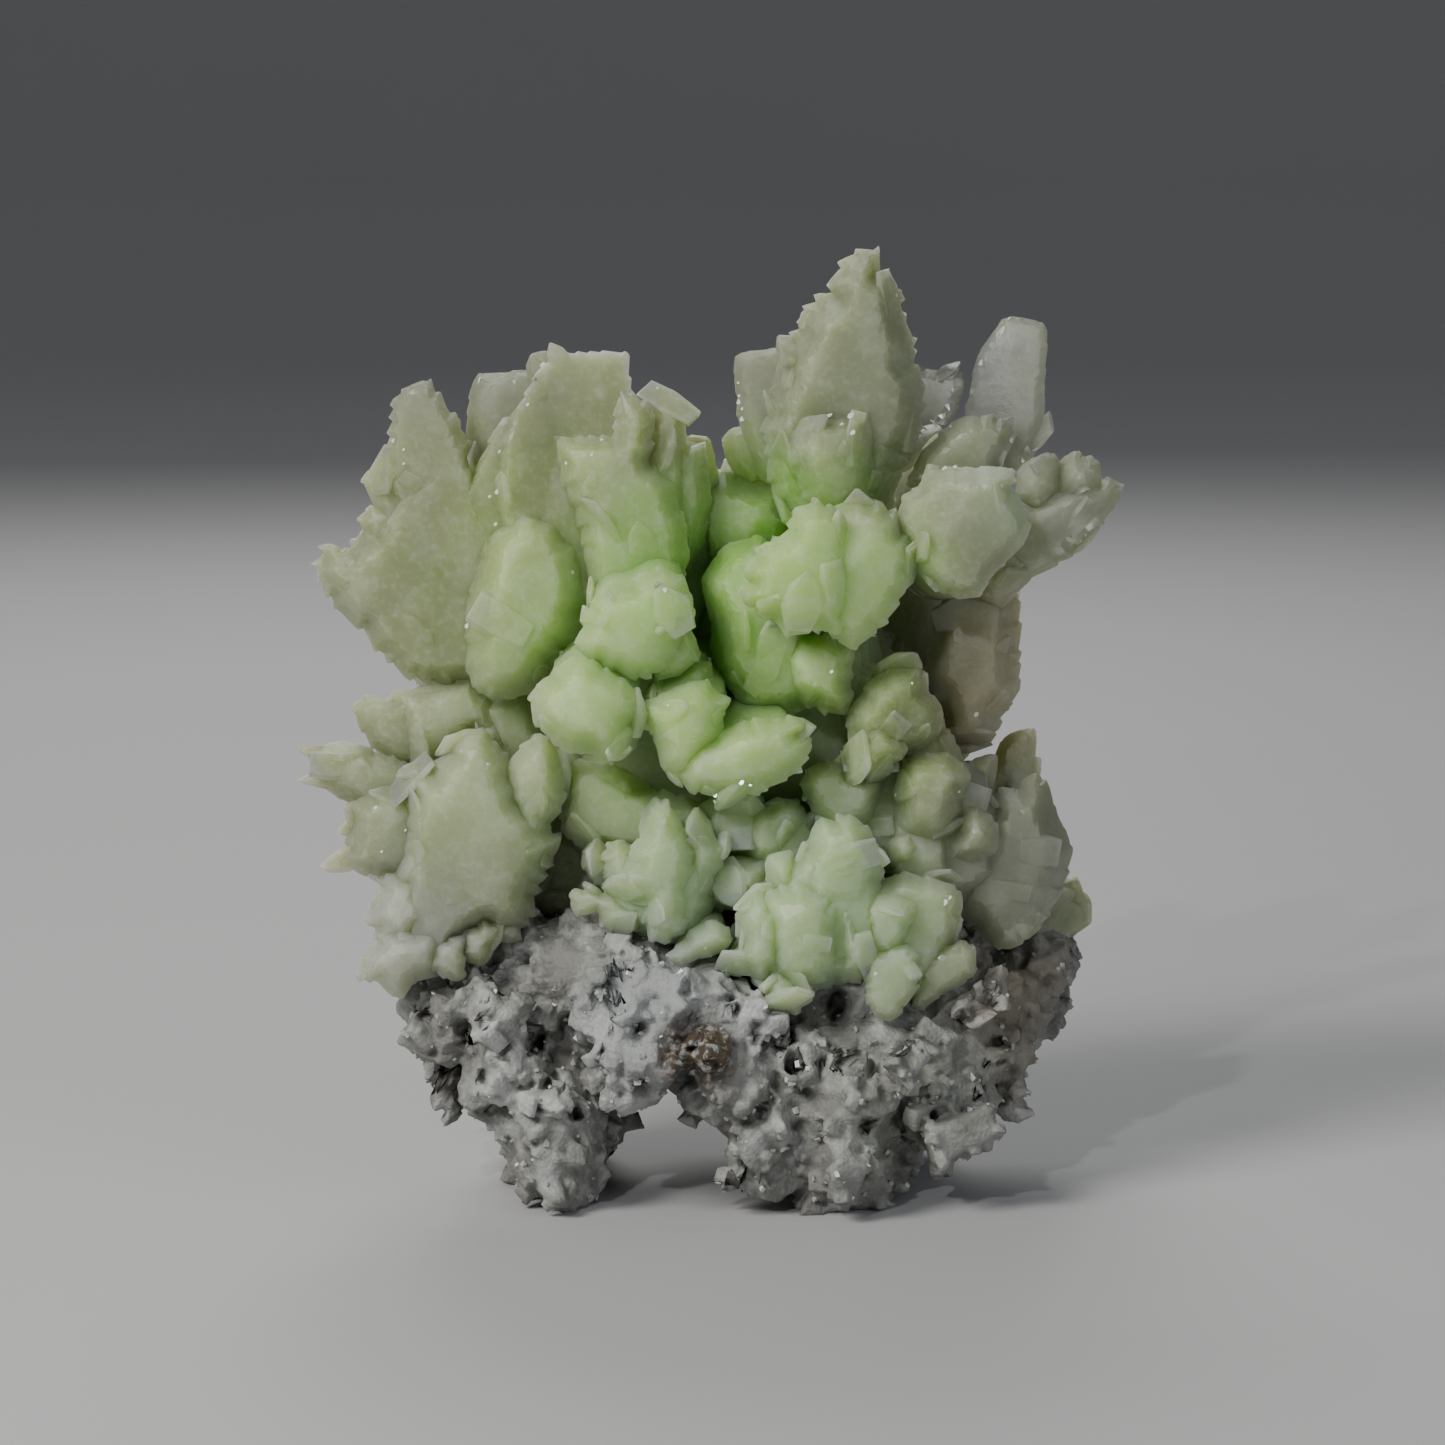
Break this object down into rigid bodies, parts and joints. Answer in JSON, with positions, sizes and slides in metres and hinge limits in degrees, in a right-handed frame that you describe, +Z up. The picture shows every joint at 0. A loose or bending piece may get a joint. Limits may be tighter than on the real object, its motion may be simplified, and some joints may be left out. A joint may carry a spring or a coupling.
{
  "type": "barite crystal specimen",
  "caption": "Mineral specimen of translucent pale green barite blades in radiating sprays, grown on a grey, pitted matrix that stands on two ridges.",
  "frame": {"origin": "the middle of the specimen's bounding box in plan, on the surface that it stands on", "axes": "+Z up, -Y the front that the picture shows, +X to the viewer's right"},
  "size_m": [0.0526, 0.0322, 0.0608],
  "materials": {
    "barite": "translucent, milky pale green crystal with a satin lustre",
    "matrix_rock": "rough grey rock with a sparkling crust of tiny crystals"
  },
  "bodies": {
    "root": {"barite_crystals": "barite", "matrix": "matrix_rock"}
  },
  "joints": []
}
